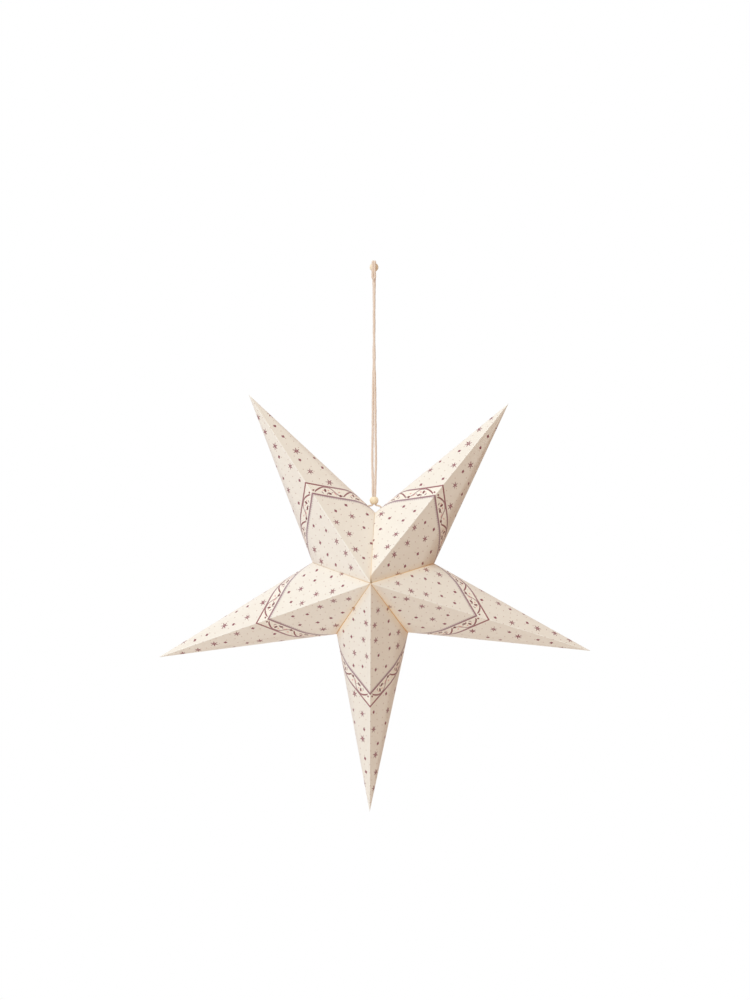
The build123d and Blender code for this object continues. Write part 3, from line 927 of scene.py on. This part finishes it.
# One warm colour for the glue tint and the painted glow beside it.
colour = add(tree, "ShaderNodeMix", {"Factor": glue_and_glow, "A": colour, "B": linear("#F2C88A")}, data_type="RGBA")
finish = {"Base Color": colour, "Roughness": 0.86, "IOR": 1.45, "Normal": bump}
shader = add(tree, "ShaderNodeBsdfPrincipled", finish)
add(tree, "ShaderNodeOutputMaterial", {"Surface": shader})
for sheet in sheets:
    sheet.data.materials.clear()
    sheet.data.materials.append(printed_paper)
    sheet.data.materials.append(bare_paper)
print("nodes in the print", len(tree.nodes))

# %% [markdown]
# ## Cotton
# The string is undyed spun cotton: matt, warm beige, with loose fibres that make its surface
# uneven. One noise makes both the fibre bump and part of the colour, so the hollows of the bump are
# painted darker, as painted shade. The fibres run along the plies. A noise at 0.4 mm stands for them,
# coarser than real fibres, which would not show.

# %% Spun cotton
COTTON_FIBRE, COTTON_PATCH = 0.0004, 0.006  # metres

cotton, tree = blank_material("spun_cotton")
spot = add(tree, "ShaderNodeTexCoord").outputs["Object"]
fibre = {"Vector": spot, "Scale": 1 / COTTON_FIBRE, "Detail": 3.0, "Roughness": 0.65}
fibre = add(tree, "ShaderNodeTexNoise", fibre)
patch = add(tree, "ShaderNodeTexNoise", {"Vector": spot, "Scale": 1 / COTTON_PATCH, "Detail": 2.0})
# Mottled colour from fibres and patches. Through the fibre noise, the hollows of the bump get painted shade.
mixed = add(tree, "ShaderNodeMix", {"Factor": 0.5, "A": fibre, "B": patch}, data_type="FLOAT")
colour = {"Factor": mixed, "A": linear("#E0C8B4"), "B": linear("#F4E4D6")}
colour = add(tree, "ShaderNodeMix", colour, data_type="RGBA")
bump = add(tree, "ShaderNodeBump", {"Strength": 0.4, "Distance": 0.0002, "Height": fibre})
finish = {"Base Color": colour, "Roughness": 0.95, "IOR": 1.45, "Normal": bump}
finish |= {"Sheen Weight": 0.15, "Sheen Roughness": 0.5}
shader = add(tree, "ShaderNodeBsdfPrincipled", finish)
add(tree, "ShaderNodeOutputMaterial", {"Surface": shader})
for piece in [string] + knots:
    piece.data.materials.append(cotton)
print("made", cotton.name)

# %% [markdown]
# ## Turned wood
# The beads are turned from a pale close-grained wood such as birch, sanded and waxed. The grain
# runs along the bore, in lines about 0.8 mm apart, and the wax gives a soft highlight. The shape
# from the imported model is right, so only the finish is new.

# %% Waxed birch
GRAIN_LINE = 0.0008
GRAIN_STRETCH = (1.0, 1.0, 0.12)  # the lines are long along the bore

birch, tree = blank_material("waxed_birch_turned")
spot = add(tree, "ShaderNodeTexCoord").outputs["Object"]
stretched = add(tree, "ShaderNodeMapping", {"Vector": spot, "Scale": GRAIN_STRETCH})
lines = {"Vector": stretched, "Scale": 1 / GRAIN_LINE, "Detail": 4.0, "Roughness": 0.6, "Distortion": 0.4}
grain = add(tree, "ShaderNodeTexNoise", lines)
colour = {"Factor": grain, "A": linear("#F2DBB2"), "B": linear("#F9ECD4")}
colour = add(tree, "ShaderNodeMix", colour, data_type="RGBA")
bump = add(tree, "ShaderNodeBump", {"Strength": 0.2, "Distance": 0.00008, "Height": grain})
finish = {"Base Color": colour, "Roughness": 0.42, "IOR": 1.5, "Normal": bump}
shader = add(tree, "ShaderNodeBsdfPrincipled", finish)
add(tree, "ShaderNodeOutputMaterial", {"Surface": shader})
for bead in beads:
    bead.data.materials.clear()
    bead.data.materials.append(birch)
print("made", birch.name)

# %% [markdown]
# ## Light and floor
# The star was photographed in a white room that lights it from all round, so even the rolled sides
# stay bright, and a soft lamp stood at the upper left. Each of the six sides of the room has its
# own colour of light. The share of a side is the square of one coordinate of the direction, so the
# shares add up to one. The room is plain white to the camera, and the floor fades at its rim.

# %% World
LEFT_RIGHT = linear("#C9C3CF"), linear("#794A00")
FRONT_BACK = linear("#C7B09E"), linear("#E0D7CD")
FLOOR_CEILING = linear("#DBD0C4"), linear("#FFF9F7")
ROOM_STRENGTH = 1.1

scene = bpy.context.scene
scene.view_settings.view_transform = "Standard"
world = bpy.data.worlds.new("white_room")
scene.world = world
world.use_nodes = True
tree = world.node_tree
tree.nodes.clear()
towards = add(tree, "ShaderNodeTexCoord").outputs["Generated"]
sides = add(tree, "ShaderNodeSeparateXYZ", {0: towards})
shares = add(tree, "ShaderNodeVectorMath", {0: towards, 1: towards}, operation="MULTIPLY")
shares = add(tree, "ShaderNodeSeparateXYZ", {0: shares})
room = (0, 0, 0)
for axis, (low, high) in enumerate((LEFT_RIGHT, FRONT_BACK, FLOOR_CEILING)):
    is_high = add(tree, "ShaderNodeMath", {0: sides.outputs[axis], 1: 0.0}, operation="GREATER_THAN")
    wall = add(tree, "ShaderNodeMix", {"Factor": is_high, "A": low, "B": high}, data_type="RGBA")
    wall = add(tree, "ShaderNodeVectorMath", {0: wall, "Scale": shares.outputs[axis]}, operation="SCALE")
    room = add(tree, "ShaderNodeVectorMath", {0: room, 1: wall}, operation="ADD")
path = add(tree, "ShaderNodeLightPath")
seen = {0: path.outputs["Is Camera Ray"], 1: path.outputs["Is Glossy Ray"]}
seen = add(tree, "ShaderNodeMath", seen, operation="MAXIMUM")
seen = add(tree, "ShaderNodeMath", {0: seen, 1: path.outputs["Is Transmission Ray"]}, operation="MAXIMUM")
room_light = add(tree, "ShaderNodeBackground", {"Color": room, "Strength": ROOM_STRENGTH})
white = add(tree, "ShaderNodeBackground", {"Color": (1, 1, 1, 1), "Strength": 1.0})
mixed = add(tree, "ShaderNodeMixShader", {0: seen, 1: room_light, 2: white})
add(tree, "ShaderNodeOutputWorld", {"Surface": mixed})
print("world", world.name)

# %% Lamp
KEY_DISTANCE = 5.0
KEY_SIZE = 2.6
KEY_POWER = 116.0
KEY_SIDE = Vector((-0.36, -0.76, 0.5)).normalized()  # from the star towards the lamp

key = bpy.data.lights.new("soft_key", "AREA")
key.shape = "DISK"
key.size = KEY_SIZE
key.energy = KEY_POWER
key.color = linear("#E2FBFF")[:3]
key_lamp = show("soft_key", key)
key_lamp.location = STAR_CENTRE + KEY_DISTANCE * KEY_SIDE
key_lamp.rotation_mode = "QUATERNION"
key_lamp.rotation_quaternion = KEY_SIDE.to_track_quat("Z", "Y")
print("lamp at", [round(x, 2) for x in key_lamp.location])

# %% Floor
FLOOR_RADIUS = 0.8
FLOOR_PLACE = (0, 0, -0.95)
FADE = (0.45 * FLOOR_RADIUS, 0.98 * FLOOR_RADIUS)  # from the middle, where the rim starts to fade and ends

bpy.ops.mesh.primitive_circle_add(vertices=96, radius=FLOOR_RADIUS, fill_type="NGON", location=FLOOR_PLACE)
floor = bpy.context.object
floor.name = "floor"
pale_floor, tree = blank_material("matt_white_board")
spot = add(tree, "ShaderNodeTexCoord").outputs["Object"]
rim = add(tree, "ShaderNodeVectorMath", {0: spot}, operation="LENGTH")
fade = {"Value": rim, "From Min": FADE[0], "From Max": FADE[1]}
fade = add(tree, "ShaderNodeMapRange", fade)
path = add(tree, "ShaderNodeLightPath")
fade = add(tree, "ShaderNodeMath", {0: fade, 1: path.outputs["Is Camera Ray"]}, operation="MULTIPLY")
board = add(tree, "ShaderNodeBsdfPrincipled", {"Base Color": linear("#F4F2EE"), "Roughness": 0.9})
white = add(tree, "ShaderNodeEmission", {"Color": (1, 1, 1, 1), "Strength": 1.0})
mixed = add(tree, "ShaderNodeMixShader", {0: fade, 1: board, 2: white})
add(tree, "ShaderNodeOutputMaterial", {"Surface": mixed})
floor.data.materials.append(pale_floor)
print("floor", floor.name)
